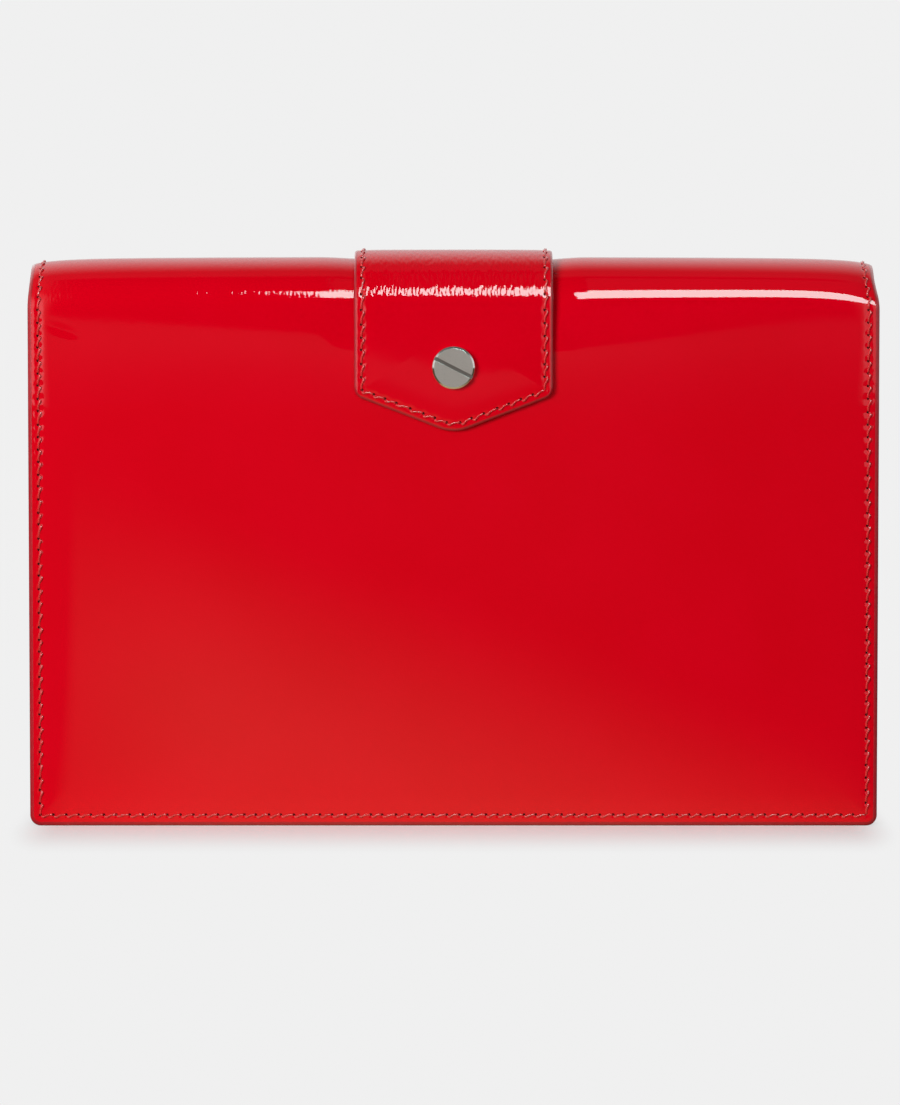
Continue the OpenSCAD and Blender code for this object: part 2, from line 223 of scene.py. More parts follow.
def dimples(rows, x, s, deep=0.16 * MM):
    """Depth of the furrow that the thread presses into the leather, deepest at the holes."""
    total = np.zeros(np.broadcast(x, s).shape)
    for row in rows:
        along, across = row_coordinates(row, x, s)
        holes = row["holes"]
        k = np.clip(np.searchsorted(holes, along), 1, len(holes) - 1)
        near = np.minimum(np.abs(along - holes[k - 1]), np.abs(along - holes[k]))
        beyond = np.maximum(0, np.maximum(-along, along - holes[-1]))
        furrow = np.exp(-((across / (0.8 * MM)) ** 2)) * np.exp(-((beyond / (0.8 * MM)) ** 2))
        total = np.maximum(total, furrow * (0.35 + 0.65 * np.exp(-((near / (0.8 * MM)) ** 2))))
    return deep * total


def upright_rows(x, bottom, fold_pitch, pitch, top):
    """Seam up one side of a long sheet, stitched downwards on the back, broken at the cuts in the fold."""
    marks = [bottom, FOLD_Z, *SPLITS, FLAP_START, top]
    pitches = [pitch, *[fold_pitch] * 4, pitch]
    return [stitch_row((x, b), (x, a), step) for a, b, step in zip(marks, marks[1:], pitches)]


def body_rows():
    """The seam round the back, over the fold's ends and round the flap."""
    edge = HALF_W - STITCH_IN
    top, clear = FLAP_END - STITCH_IN, STRAP_HALF + 2 * MM
    rows = [
        stitch_row((-edge, STITCH_IN), (edge, STITCH_IN), STITCH, -1),
        stitch_row((-edge, top), (-clear, top), STITCH, -1),
        stitch_row((clear, top), (edge, top), STITCH, -1),
    ]
    for x in (-edge, edge):
        rows += upright_rows(x, STITCH_IN, 1.15 * STITCH, STITCH, top)
    return rows


def strap_rows():
    """The seam round the strap, from point to point over the fold."""
    edge = STRAP_HALF - STRAP_STITCH_IN
    inset = STRAP_STITCH_IN / cos(SLOPE)
    rise = edge * tan(SLOPE)
    tail, head = TAB_TIP + inset, STRAP_TIP - inset
    nose = STRAP_STITCH / 2
    blunt = nose * tan(SLOPE)
    rows = []
    for end, knee in ((tail + blunt, tail + rise), (head - blunt, head - rise)):
        corners = [(-edge, knee), (-nose, end), (nose, end), (edge, knee)]
        rows += [stitch_row(a, b, STRAP_STITCH, -1) for a, b in zip(corners, corners[1:])]
    for x in (-edge, edge):
        rows += upright_rows(x, tail + rise, STRAP_STITCH, STRAP_STITCH, head - rise)
    return rows


def panel_rows(edge, foot, top, heights):
    """The seam up both sides of a panel, and across it at each height."""
    rows = [stitch_row((-edge, z), (edge, z), STITCH, -1) for z in heights]
    return rows + [stitch_row((x, top), (x, foot), STITCH) for x in (-edge, edge)]


BODY_ROWS, STRAP_ROWS = body_rows(), strap_rows()
HEM = FRONT_LEN - STITCH_IN
FRONT_ROWS = panel_rows(HALF_W - STITCH_IN, STITCH_IN, HEM, (STITCH_IN, HEM))
POCKET_IN = 1.5 * MM
POCKET_SEAM = POCKET_FOOT + POCKET_IN
POCKET_TOP = POCKET_FOOT + POCKET_H - 1 * MM
POCKET_ROWS = panel_rows(POCKET_HALF - POCKET_IN, POCKET_SEAM, POCKET_TOP, (POCKET_SEAM,))


# ---- Leather faces: a place function with the relief of its seams ----


def edge_pull(distance):
    """The leather dips towards the seam, where distance is 0, and goes on sloping outside it."""
    inside = np.exp(-np.maximum(distance, 0) / (4 * MM))
    return 0.24 * MM * np.where(distance > 0, inside, 1 - distance / (4 * MM))


def edge_roll(distance, reach=2.2 * MM, deep=0.28 * MM):
    """Outside the seam the face turns down to the painted edge."""
    return deep * np.clip(1 - distance / reach, 0, 1) ** 2


def shoulder(x, s):
    """The back leans in a little at the foot of the fold, most of all next to the strap."""
    inwards = 1 - np.abs(x) / HALF_W
    pull = np.where(x < 0, 0.066 + 0.21 * inwards**2, 0.066 + 1.15 * inwards**3)
    pull = np.minimum(pull, 0.40)
    return pull * MM * np.exp(-(((s - FOLD_Z - 8 * MM) / (11 * MM)) ** 2))


def strap_dent(x, s):
    """The tight strap presses the fold down into a shallow slope on either side of it."""
    steep, wide = np.where(x < 0, 0.055, 0.078), np.where(x < 0, 8.0, 7.7)
    beside = 1.1 * np.log1p(np.exp((STRAP_HALF - np.abs(x)) / (1.1 * MM) + wide / 1.1))
    under = smooth((np.abs(x) - STRAP_HALF + 3 * MM) / (2 * MM))
    return steep * MM * np.minimum(beside, wide) * under * smooth((s - FOLD_Z + 12 * MM) / (17 * MM))


def crease(x, s):
    """Short crease under the fold beside the left seam."""
    along = (x + 110.5 * MM) + 0.35 * (140.5 * MM - s)
    across = (s - 140.5 * MM) + 0.35 * (x + 110.5 * MM)
    return 0.032 * MM * np.exp(-((along / (4.5 * MM)) ** 2)) * np.exp(-((across / (1.4 * MM)) ** 2))


def fade_in(depth):
    return np.clip(1 - depth / (0.8 * MM), 0, 1)


def body_inside(x, s):
    """Distance inwards from the edge of the body leather."""
    return np.minimum(HALF_W - np.abs(x), np.minimum(s, FLAP_END - s))


def front_inside(x, u):
    return np.minimum(HALF_W - np.abs(x), np.minimum(u, FRONT_LEN - u))


def body_relief(x, s):
    slow = waves(x, s) + shoulder(x, s) + strap_dent(x, s) + crease(x, s)
    return edge_pull(body_inside(x, s) - STITCH_IN) + slow


def body_face(x, s, depth):
    relief = body_relief(x, s) + edge_roll(body_inside(x, s)) + dimples(BODY_ROWS, x, s)
    return place_body(x, s, depth + relief * fade_in(depth))


def body_seam(x, s, depth):
    return place_body(x, s, depth + body_relief(x, s))


def strap_inside(x, s):
    """Distance inwards from the edge of the strap, its two points included."""
    end = np.minimum(s - TAB_TIP, STRAP_TIP - s)
    point = end * cos(SLOPE) - np.abs(x) * sin(SLOPE)
    below = TIP_R / cos(SLOPE) - end
    point = np.where(np.abs(x) < below * tan(SLOPE), TIP_R - np.hypot(x, below), point)
    return np.minimum(STRAP_HALF - np.abs(x), point)


def strap_lean(x, s):
    """The stiff end of the strap stands off a little at its tip."""
    bottom, top = TAB_TIP - 5 * MM, FOLD_Z + 6 * MM
    rise = (0.0113 + 0.12 * x) * (np.clip(s, bottom, top) - 128 * MM)
    return rise * (1 - smooth((s - top) / (18 * MM)))


def strap_relief(x, s):
    return 0.5 * edge_pull(strap_inside(x, s) - STRAP_STITCH_IN) + strap_lean(x, s)


def strap_face(x, s, depth):
    roll = edge_roll(strap_inside(x, s), 1.6 * MM, 0.2 * MM)
    relief = strap_relief(x, s) + roll + dimples(STRAP_ROWS, x, s)
    return place_body(x, s, depth + relief * fade_in(depth + STRAP_OUT - FOLD_R))


def strap_seam(x, s, depth):
    return place_body(x, s, depth + strap_relief(x, s))


def front_relief(x, u):
    return edge_pull(front_inside(x, u) - STITCH_IN) + waves(x + 0.4, u)


def front_face(x, u, depth):
    relief = front_relief(x, u) + edge_roll(front_inside(x, u)) + dimples(FRONT_ROWS, x, u)
    return place_front(x, u, depth + relief * fade_in(depth))


def front_seam(x, u, depth):
    return place_front(x, u, depth + front_relief(x, u))


def place_pocket(x, z, depth):
    """The slip pocket on the back lining, bowed outwards a little at its open top."""
    up = smooth((z - POCKET_FOOT) / POCKET_H)
    bow = 0.9 * MM * up * (1 - (x / POCKET_HALF) ** 2)
    y = POCKET_Y + bow - depth
    return np.stack(np.broadcast_arrays(-x, y, z), axis=-1)


# ---- Meshes ----


def make_object(name, points, faces, materials, indices=None, uvs=None, normals=None):
    """Mesh object from points in metres and faces as rows of vertex numbers."""
    mesh = bpy.data.meshes.new(name)
    points = np.asarray(points, np.float32).reshape(-1, 3)
    sizes = np.array([len(face) for face in faces], np.int32)
    corners = np.concatenate(faces).astype(np.int32)
    mesh.vertices.add(len(points))
    mesh.vertices.foreach_set("co", points.ravel())
    mesh.loops.add(len(corners))
    mesh.loops.foreach_set("vertex_index", corners)
    mesh.polygons.add(len(sizes))
    mesh.polygons.foreach_set("loop_start", (np.cumsum(sizes) - sizes).astype(np.int32))
    for material in materials:
        mesh.materials.append(material)
    if indices is not None:
        mesh.polygons.foreach_set("material_index", np.asarray(indices, np.int32))
    mesh.update(calc_edges=True)
    if uvs is not None:
        layer = mesh.uv_layers.new(name="UVMap")
        layer.uv.foreach_set("vector", np.asarray(uvs, np.float32).reshape(-1, 2)[corners].ravel())
    mesh.validate()
    mesh.shade_smooth()
    if normals is not None:
        mesh.normals_split_custom_set_from_vertices(normals.astype(np.float32).tolist())
    obj = bpy.data.objects.new(name, mesh)
    bpy.context.scene.collection.objects.link(obj)
    return obj


def grid_quads(rows, cols, start=0, flip=False):
    i, j = np.meshgrid(np.arange(rows - 1), np.arange(cols - 1), indexing="ij")
    a = start + (i * cols + j).ravel()
    quads = np.stack([a, a + 1, a + cols + 1, a + cols], axis=-1)
    return quads[:, ::-1] if flip else quads


# Texture space of the flat layouts: one unit is a decimetre
UV_SCALE = 10


def ring_quads(first, second):
    """Quads between two loops of vertex numbers."""
    return np.stack([first, second, np.roll(second, -1), np.roll(first, -1)], axis=-1)


def size_of(vectors):
    return np.linalg.norm(vectors, axis=-1, keepdims=True)


def normals_at(place, x, s, depth):
    step = 0.04 * MM
    across = place(x + step, s, depth) - place(x - step, s, depth)
    along = place(x, s + step, depth) - place(x, s - step, depth)
    n = np.cross(across, along)
    return n / size_of(n)


def border(rows, cols):
    """Vertex numbers round a grid, counter-clockwise from its first corner."""
    bottom = np.arange(cols)
    right = np.arange(1, rows) * cols + cols - 1
    top = (rows - 1) * cols + np.arange(cols - 2, -1, -1)
    left = np.arange(rows - 2, 0, -1) * cols
    return np.concatenate([bottom, right, top, left])


def sheet(name, X, S, place, top, bottom, materials, cut=(False, False), rim=RIM, turns=4):
    """Closed sheet with rounded edges over a flat layout, from depth top to depth bottom. X and S lie rim
    inside the true outline. materials are the outer face, the edge and the inner face. cut says whether the
    first and last rows are cuts that meet a neighbouring piece, which get no rounding."""
    rows, cols = X.shape
    upper, lower = (np.broadcast_to(d(X, S) if callable(d) else d, X.shape) for d in (top, bottom))
    loop = border(rows, cols)
    bx, bs, bu, bl = (part.ravel()[loop] for part in (X, S, upper, lower))
    tangent = np.stack([np.roll(part, -1) - np.roll(part, 1) for part in (bx, bs)], axis=-1)
    tangent /= size_of(tangent)
    out = np.stack([tangent[:, 1], -tangent[:, 0]], axis=-1)
    for is_cut, row in zip(cut, (0, rows - 1)):
        if is_cut:
            on_row = loop // cols == row
            corner = on_row & np.isin(loop % cols, (0, cols - 1))
            out[on_row] = 0
            out[corner, 0] = np.sign(bx[corner])
    angles = np.linspace(0, pi / 2, turns + 1)
    half = 0.49 * (bl - bu)
    stations = [(a, bu + half * (1 - cos(a)), 1) for a in angles[1:]]
    stations += [(a, bl - half * (1 - cos(a)), -1) for a in angles[:0:-1]]
    points = [place(X, S, upper).reshape(-1, 3)]
    normals = [normals_at(place, X, S, upper).reshape(-1, 3)]
    flat = [np.stack([X.ravel(), S.ravel()], axis=-1)]
    probe = 0.1 * MM
    for a, depth, sign in stations:
        x, s = bx + rim * sin(a) * out[:, 0], bs + rim * sin(a) * out[:, 1]
        here = place(x, s, depth)
        away = place(x + probe * out[:, 0], s + probe * out[:, 1], depth) - here
        away /= np.maximum(size_of(away), 1e-12)
        n = sign * rim * cos(a) * normals_at(place, bx, bs, depth) + half[:, None] * sin(a) * away
        points.append(here)
        normals.append(n / size_of(n))
        flat.append(np.stack([x, s], axis=-1))
    points.append(place(X, S, lower).reshape(-1, 3))
    normals.append(-normals_at(place, X, S, lower).reshape(-1, 3))
    flat.append(flat[0])
    count, size = len(loop), rows * cols
    loops = [loop] + [size + k * count + np.arange(count) for k in range(len(stations))]
    inner = size + len(stations) * count
    loops.append(inner + loop)
    rims = [ring_quads(a, b) for a, b in zip(loops, loops[1:])]
    groups = [grid_quads(rows, cols), *rims, grid_quads(rows, cols, inner, flip=True)]
    parts = [0] + [1] * len(rims) + [2]
    indices = np.repeat(parts, [len(group) for group in groups])
    uvs = np.concatenate(flat) * UV_SCALE
    points, normals, faces = (np.concatenate(part) for part in (points, normals, groups))
    return make_object(name, points, faces, materials, indices, uvs, normals)


# ---- Layout grids ----


def spread(a, b, step):
    return np.linspace(a, b, max(2, round((b - a) / step) + 1))


def columns(half, corner, fine, coarse, band=6 * MM):
    """Column places from -half to half, close together at the edges and closest round the corners."""
    turn = half - corner + corner * np.sin(np.linspace(0, pi / 2, 8))
    edge = spread(half - band, half - corner, fine)[:-1]
    middle = spread(-(half - band), half - band, coarse)[1:-1]
    right = np.concatenate([edge, turn])
    return np.concatenate([-right[::-1], middle, right])


def round_corner(x, half, corner):
    """Height of an outline's rounded corner above its straight edge."""
    past = np.clip(np.abs(x) - (half - corner), 0, corner)
    return corner - np.sqrt(np.maximum(corner**2 - past**2, 0))


def strap_point(x, inset):
    """Height of the strap's pointed outline above its tip, with a rounded tip and rounded shoulders."""
    half, tip, knee = STRAP_HALF - inset, TIP_R - inset, SHOULDER_R - inset
    x = np.abs(x)
    line = x * tan(SLOPE)
    at_tip = tip / cos(SLOPE) - np.sqrt(np.maximum(tip**2 - x**2, 0))
    centre = half - knee
    top = centre * tan(SLOPE) + knee / cos(SLOPE)
    at_knee = top - np.sqrt(np.maximum(knee**2 - (x - centre) ** 2, 0))
    line = np.where(x < tip * sin(SLOPE), at_tip, line)
    return np.where(x > centre + knee * sin(SLOPE), at_knee, line) + inset / cos(SLOPE)


def layout(cols, stations, start, end, band=8 * MM):
    """Grid whose first and last rows follow the outlines start and end; its middle rows are straight."""
    X, S = np.meshgrid(cols, stations)
    if start is not None:
        S = S + (start - stations[0]) * np.clip(1 - (S - stations[0]) / band, 0, 1)
    if end is not None:
        S = S + (end - stations[-1]) * np.clip(1 - (stations[-1] - S) / band, 0, 1)
    return X, S


def sheet_zones(name, cols, stations, start, end, place, top, bottom, materials, band=8 * MM, rim=RIM):
    """One long sheet made as four pieces that meet on the slats' middles."""
    X, S = layout(cols, stations, start, end, band)
    cuts = [0] + [int(np.argmin(np.abs(stations - split))) for split in SPLITS] + [len(stations) - 1]
    made = []
    for k in range(4):
        part = slice(cuts[k], cuts[k + 1] + 1)
        obj = sheet(
            f"{name}_{k + 1}", X[part], S[part], place, top, bottom, materials, cut=(k > 0, k < 3), rim=rim
        )
        bend(obj)
        made.append(obj)
    return made


def bend(obj):
    """Bakes the piece's placement into its mesh."""
    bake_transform(obj)


def long_stations(start, end, fine, coarse, band=6 * MM):
    """Row places along a sheet that runs over the fold, with a row on each cut."""
    marks = [start, start + band, FOLD_Z, *SPLITS, FLAP_START, end - band, end]
    steps = [fine, coarse, coarse, coarse, coarse, coarse, coarse, fine]
    parts = [spread(a, b, step)[:-1] for a, b, step in zip(marks, marks[1:], steps)]
    return np.concatenate([*parts, [end]])


# ---- Thread ----


# A stitch from hole to hole: place along it as a share of the pitch, then place across it and height in mm
STITCH_ALONG = np.array([0.00, 0.05, 0.13, 0.24, 0.36, 0.50, 0.68, 0.86, 0.95])
STITCH_ACROSS = np.array([0.12, 0.34, 0.50, 0.46, 0.24, 0.02, -0.14, -0.14, -0.06])
STITCH_RISE = np.array([-0.32, -0.02, 0.12, 0.26, 0.26, 0.08, 0.02, 0.02, -0.32])
# Sides of the flat dark disc at each hole, painted shade for the hole
HOLE_SHADE_SIDES = 12


def stitches(name, rows, seam, face, rise=0, low_s=-1, high_s=1):
    """Thread, and a flat dark disc of painted shade at each hole: each stitch is a loop that leaves a hole
    on one side and slants to the next.
    """
    around, rings = 8, len(STITCH_ALONG)
    turn = np.linspace(0, 2 * pi, around, endpoint=False)
    rim = np.linspace(0, 2 * pi, HOLE_SHADE_SIDES, endpoint=False)
    tube = grid_quads(rings, around + 1)
    tube = (tube // (around + 1)) * around + (tube % (around + 1)) % around
    thick = THREAD_R * (1 - 0.25 * STITCH_ALONG * (STITCH_ALONG < 0.9))[:, None]
    up = (rise + STITCH_RISE * MM)[:, None] + 0.8 * thick * np.sin(turn)
    points, uvs, faces, indices = [], [], [], []
    count = 0
    for row in rows:
        for a, b in zip(row["holes"], row["holes"][1:]):
            middle = row["p"][1] + row["d"][1] * (a + b) / 2
            if not low_s < middle < high_s:
                continue
            loop = row["side"] * (1 + rng.normal(0, 0.12))
            along = (a + (b - a) * STITCH_ALONG)[:, None]
            x, s = off_row(row, along, loop * MM * STITCH_ACROSS[:, None] + thick * np.cos(turn))
            points.append(seam(x, s, -up).reshape(-1, 3))
            place = np.broadcast_arrays((along - a) * UV_SCALE, turn / (2 * pi))
            uvs.append(np.stack(place, axis=-1).reshape(-1, 2))
            faces.extend(tube + count)
            faces.append(count + np.arange(around)[::-1])
            faces.append(count + (rings - 1) * around + np.arange(around))
            indices.extend([0] * (len(tube) + 2))
            count += rings * around
            # Flat dark disc just above the face at the hole: painted shade for the inside of the hole
            beside = -0.14 * MM * row["side"] + 0.40 * MM * np.sin(rim)
            x, s = off_row(row, a - 0.05 * MM + 0.44 * MM * np.cos(rim), beside)
            points.append(face(x, s, np.full(HOLE_SHADE_SIDES, -rise - 0.03 * MM)))
            uvs.append(np.stack([x, s], axis=-1))
            faces.append(count + np.arange(HOLE_SHADE_SIDES))
            indices.append(1)
            count += HOLE_SHADE_SIDES
    return make_object(name, np.concatenate(points), faces, [THREAD, HOLE_SHADE], indices, np.concatenate(uvs))


# ---- Turned and cut metal ----


def facing(origin, normal, up=(0, 0, 1)):
    """Matrix that stands a piece turned round its local Z on origin, pointing along normal."""
    z = Vector(normal).normalized()
    x = Vector(up).cross(z).normalized()
    y = z.cross(x)
    rotation = Matrix((x, y, z)).transposed()
    return Matrix.Translation(origin) @ rotation.to_4x4()


def profile_with_rounds(corners, steps=5):
    """Turned outline from (radius, height, rounding) corners."""
    points = []
    for k, (r, z, rounding) in enumerate(corners):
        here = np.array([r, z], float)
        if rounding == 0 or k in (0, len(corners) - 1):
            points.append(here)
            continue
        before = np.array(corners[k - 1][:2]) - here
        after = np.array(corners[k + 1][:2]) - here
        a = here + before / np.linalg.norm(before) * rounding
        b = here + after / np.linalg.norm(after) * rounding
        for t in np.linspace(0, 1, steps + 1):
            points.append((1 - t) ** 2 * a + 2 * t * (1 - t) * here + t**2 * b)
    return np.array(points)


def keep_flat(obj):
    """Flat faces shade flat up to their rounded edges."""
    normals = obj.modifiers.new("normals", "WEIGHTED_NORMAL")
    normals.keep_sharp = True


def turned(name, corners, matrix, materials, segments=96):
    """Closed piece turned from an outline that runs from the axis at the top to the axis at the bottom."""
    outline = profile_with_rounds(corners) * MM
    ring = outline[1:-1]
    turn = np.linspace(0, 2 * pi, segments, endpoint=False)
    x = ring[:, 0, None] * np.cos(turn)
    y = ring[:, 0, None] * np.sin(turn)
    z = np.broadcast_to(ring[:, 1, None], x.shape)
    points = np.concatenate(
        [np.stack([x, y, z], axis=-1).reshape(-1, 3), [[0, 0, outline[0, 1]], [0, 0, outline[-1, 1]]]]
    )
    faces = []
    for k in range(len(ring) - 1):
        upper = k * segments + np.arange(segments)
        faces.extend(ring_quads(upper, upper + segments))
    top, bottom = len(points) - 2, len(points) - 1
    last = (len(ring) - 1) * segments
    for k in range(segments):
        faces.append(np.array([top, k, (k + 1) % segments]))
        faces.append(np.array([bottom, last + (k + 1) % segments, last + k]))
    uvs = np.stack([points[:, 0], points[:, 1]], axis=-1) / MM
    obj = make_object(name, points, faces, materials, uvs=uvs)
    obj.data.transform(matrix)
    keep_flat(obj)
    return obj


def cut_slot(obj, matrix, width, depth, height, angle):
    """Screwdriver slot across a head, with slightly broken edges."""
    half, reach, foot, top = width / 2, 12 * MM, height - depth, height + 2 * MM
    outline = ((-reach, -half), (reach, -half), (reach, half), (-reach, half))
    corners = [(x, y, z) for z in (foot, top) for x, y in outline]
    faces = [[3, 2, 1, 0], [4, 5, 6, 7], [0, 1, 5, 4], [1, 2, 6, 5], [2, 3, 7, 6], [3, 0, 4, 7]]
    cutter = make_object("cutter", corners, faces, [])
    cutter.data.transform(matrix @ Matrix.Rotation(angle, 4, "Z"))
    cut = obj.modifiers.new("slot", "BOOLEAN")
    cut.operation = "DIFFERENCE"
    cut.solver = "FAST"
    cut.object = cutter
    bevel = obj.modifiers.new("edges", "BEVEL")
    bevel.width = 0.07 * MM
    bevel.segments = 2
    bevel.limit_method = "ANGLE"
    bevel.angle_limit = radians(50)
    depsgraph = bpy.context.evaluated_depsgraph_get()
    mesh = bpy.data.meshes.new_from_object(obj.evaluated_get(depsgraph))
    obj.modifiers.clear()
    obj.data = mesh
    mesh.shade_smooth()
    mesh.set_sharp_from_angle(angle=radians(35))
    back = matrix.inverted()
    flat = np.array([(back @ vertex.co)[:2] for vertex in mesh.vertices], np.float32) / MM
    mesh.uv_layers[0].uv.foreach_set("vector", flat[[loop.vertex_index for loop in mesh.loops]].ravel())
    bpy.data.objects.remove(cutter)
    keep_flat(obj)


# ---- Materials ----


class Value:
    """An output of a node. Arithmetic with it adds the nodes that work it out."""

    def __init__(self, socket):
        self.socket, self.tree = socket, socket.id_data

    def __add__(self, other):
        return maths("ADD", self, other)

    def __radd__(self, other):
        return maths("ADD", other, self)

    def __sub__(self, other):
        return maths("SUBTRACT", self, other)

    def __rsub__(self, other):
        return maths("SUBTRACT", other, self)

    def __mul__(self, other):
        return maths("MULTIPLY", self, other)

    def __truediv__(self, other):
        return maths("DIVIDE", self, other)


def set_inputs(node, values):
    for key, value in values.items():
        if isinstance(value, Value):
            value.tree.links.new(value.socket, node.inputs[key])
        else:
            node.inputs[key].default_value = value


def add(tree, kind, inputs=None, out=0, **properties):
    """Adds a node, sets its inputs and returns one of its outputs."""
    node = tree.nodes.new("ShaderNode" + kind)
    for key, value in properties.items():
        setattr(node, key, value)
    set_inputs(node, inputs or {})
    return Value(node.outputs[out])


def maths(operation, a, b=0.0):
    tree = (a if isinstance(a, Value) else b).tree
    return add(tree, "Math", {0: a, 1: b}, operation=operation)


def axes(vector):
    """The x, y and z of a vector."""
    first = add(vector.tree, "SeparateXYZ", {0: vector})
    return [Value(output) for output in first.socket.node.outputs]


def mapping(where, turn, scale):
    return add(where.tree, "Mapping", {"Vector": where, "Rotation": (0, 0, turn), "Scale": scale})


def noise(where, scale, detail=2.0, rough=0.5):
    inputs = {"Vector": where, "Scale": scale, "Detail": detail, "Roughness": rough}
    return add(where.tree, "TexNoise", inputs)


def bump(height, distance, normal=None):
    inputs = {"Height": height, "Distance": distance, "Strength": 1.0}
    if normal:
        inputs["Normal"] = normal
    return add(height.tree, "Bump", inputs)


def ramp(value, low_in, high_in, low_out, high_out):
    inputs = {"Value": value, 1: low_in, 2: high_in, 3: low_out, 4: high_out}
    return add(value.tree, "MapRange", inputs, interpolation_type="SMOOTHSTEP")


def mix_colour(factor, a, b):
    return add(factor.tree, "Mix", {0: factor, 6: (*a, 1), 7: (*b, 1)}, out=2, data_type="RGBA")


def new_material(name):
    """A material, its shader and the place on the flat layout."""
    material = bpy.data.materials.new(name)
    material.use_nodes = True
    tree = material.node_tree
    return material, tree.nodes["Principled BSDF"], add(tree, "UVMap", uv_map="UVMap")


def patent_leather(name, wrinkled, flat=0.05, scale=75.0, calm=0.4):
    """Red leather under a thick clear lacquer, smooth on the flat and finely wrinkled over the fold. The
    wrinkles fade out towards the right-hand end, and are gone at calm."""
    material, shader, where = new_material(name)
    x, s, _ = axes(where)
    over = ramp(s, (FOLD_Z + 1.5 * MM) * UV_SCALE, (FOLD_Z + 4 * MM) * UV_SCALE, 0.0, wrinkled)
    leftwards = ramp(x, calm - 0.25, calm, 1.0, 0.05)
    wrinkles = noise(mapping(where, 0.5, (1.3, 0.5, 1)), scale, 0.0) * (over * leftwards)
    lacquer = bump(wrinkles, 0.06 * MM)
    lacquer = bump(noise(where, 40.0, 1.0), 0.02 * MM * flat, lacquer)
    shade = ramp(noise(where, 3.0, 2.0), 0.3, 0.7, 0.0, 1.0)
    values = {
        "Base Color": mix_colour(shade, (0.655, 0.0, 0.0080), (0.675, 0.0, 0.0095)),
        "Roughness": 0.5,
        "Specular IOR Level": 0.0,
        "Normal": bump(noise(where, 260.0, 2.0), 0.012 * MM, lacquer),
        "Coat Weight": 1.0,
        "Coat Roughness": 0.02,
        "Coat IOR": 1.5,
        "Coat Normal": lacquer,
    }
    set_inputs(shader, values)
    return material


def edge_paint():
    material, shader, where = new_material("edge_paint")
    uneven = noise(where, 60.0, 3.0)
    base = mix_colour(uneven, (0.34, 0.006, 0.012), (0.46, 0.009, 0.016))
    normal = bump(uneven, 0.05 * MM)
    set_inputs(shader, {"Base Color": base, "Roughness": 0.3, "Normal": normal, "Coat Weight": 0.3})
    return material


def suede(name, dark, light):
    """Short brushed nap of the linings."""
    material, shader, where = new_material(name)
    nap = noise(where, 160.0, 4.0, 0.7)
    stroke = noise(where, 6.0, 3.0)
    base = mix_colour(nap * 0.6 + stroke * 0.4, dark, light)
    values = {"Base Color": base, "Roughness": 0.9, "Normal": bump(nap, 0.15 * MM)}
    set_inputs(shader, {**values, "Sheen Weight": 0.35, "Specular IOR Level": 0.2})
    return material


def raw_board():
    material, shader, where = new_material("board")
    fibres = noise(where, 90.0, 5.0, 0.7)
    base = mix_colour(fibres, (0.30, 0.22, 0.14), (0.46, 0.36, 0.24))
    set_inputs(shader, {"Base Color": base, "Roughness": 0.85, "Normal": bump(fibres, 0.1 * MM)})
    return material


def waxed_thread():
    """Salmon thread, laid from strands that twist round each other."""
    material, shader, where = new_material("thread")
    along, around, _ = axes(where)
    strand = maths("SINE", (along * 90.0 + around) * (4 * pi))
    # The grooves between the strands, where the bump dips, take the darker colour: painted shade
    base = mix_colour(ramp(strand, -1.0, 0.2, 0.0, 1.0), (0.50, 0.010, 0.014), (0.72, 0.034, 0.034))
    values = {"Base Color": base, "Roughness": 0.5, "Specular IOR Level": 0.2}
    values |= {"Coat Weight": 1.0, "Coat Roughness": 0.12, "Coat IOR": 1.7}
    set_inputs(shader, {**values, "Normal": bump(strand, 0.02 * MM)})
    return material


# Near-black colour of the discs over the needle holes: painted shade
def needle_hole_shade():
    material, shader, where = new_material("needle_hole_shade")
    base = mix_colour(noise(where, 900.0), (0.015, 0.001, 0.001), (0.05, 0.003, 0.004))
    set_inputs(shader, {"Base Color": base, "Roughness": 0.9, "Specular IOR Level": 0.1})
    return material


def metal(name, colour, rough, metallic=1.0):
    """Plated metal with faint turning marks and small handling scratches."""
    material, shader, where = new_material(name)
    radius = add(where.tree, "VectorMath", {0: where}, out=1, operation="LENGTH")
    rings = noise(add(where.tree, "CombineXYZ", {0: radius}), 9.0, 4.0, 0.7)
    scratches = noise(mapping(where, 0.6, (0.6, 14, 1)), 1.2, 4.0, 0.6)
    worn = ramp(scratches, 0.3, 0.75, rough * 0.9, rough * 1.2)
    normal = bump(scratches, 0.001 * MM, bump(rings, 0.002 * MM))
    values = {"Base Color": (*colour, 1), "Metallic": metallic, "Roughness": worn, "Normal": normal}
    set_inputs(shader, values)
    return material


PATENT = patent_leather("patent_leather", 0.35, scale=105.0)
STRAP_PATENT = patent_leather("strap_leather", 1.6, scale=105.0, calm=0.6)
GUSSET_LEATHER = patent_leather("gusset_leather", 1.0, flat=1.0)
EDGE = edge_paint()
LINING = suede("lining_suede", (0.19, 0.012, 0.017), (0.33, 0.026, 0.034))
STRAP_SUEDE = suede("strap_lining_suede", (0.16, 0.012, 0.015), (0.27, 0.022, 0.028))
BOARD_STUFF = raw_board()
THREAD = waxed_thread()
HOLE_SHADE = needle_hole_shade()
NICKEL = metal("nickel", (0.50, 0.435, 0.40), 0.30, 0.6)
# Darker copy of the nickel for faces below the screw head's top, in the slot: painted shade
SLOT_SHADE = metal("nickel_slot_shade", (0.19, 0.165, 0.15), 0.40, 0.6)
